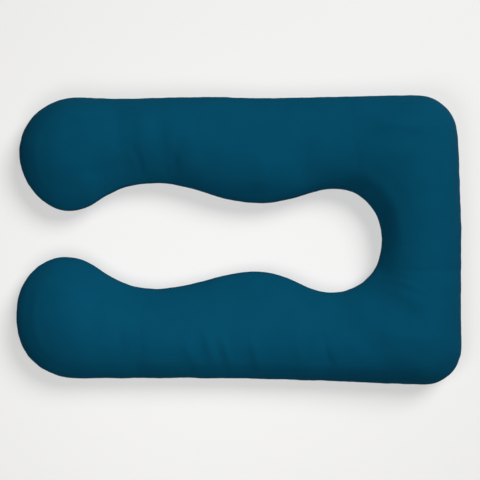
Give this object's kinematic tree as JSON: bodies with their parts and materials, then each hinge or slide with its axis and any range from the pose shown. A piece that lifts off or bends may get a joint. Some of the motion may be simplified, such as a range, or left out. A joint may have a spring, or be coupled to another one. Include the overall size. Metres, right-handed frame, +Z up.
{
  "type": "body pillow",
  "caption": "Stuffed U-shaped body pillow with a rounded lobe at each arm's end, contoured arms and a head pocket, lying flat.",
  "frame": {"origin": "on the surface that the pillow lies on, under the middle of its outline", "axes": "+X along the arms towards the closed head end, +Y across both arms, +Z up from the surface"},
  "size_m": [1.42, 0.9261, 0.1919],
  "materials": {
    "cover": "matte deep teal jersey, fine knit, soft creases"
  },
  "bodies": {
    "root": {"pillow": "cover"}
  },
  "joints": []
}
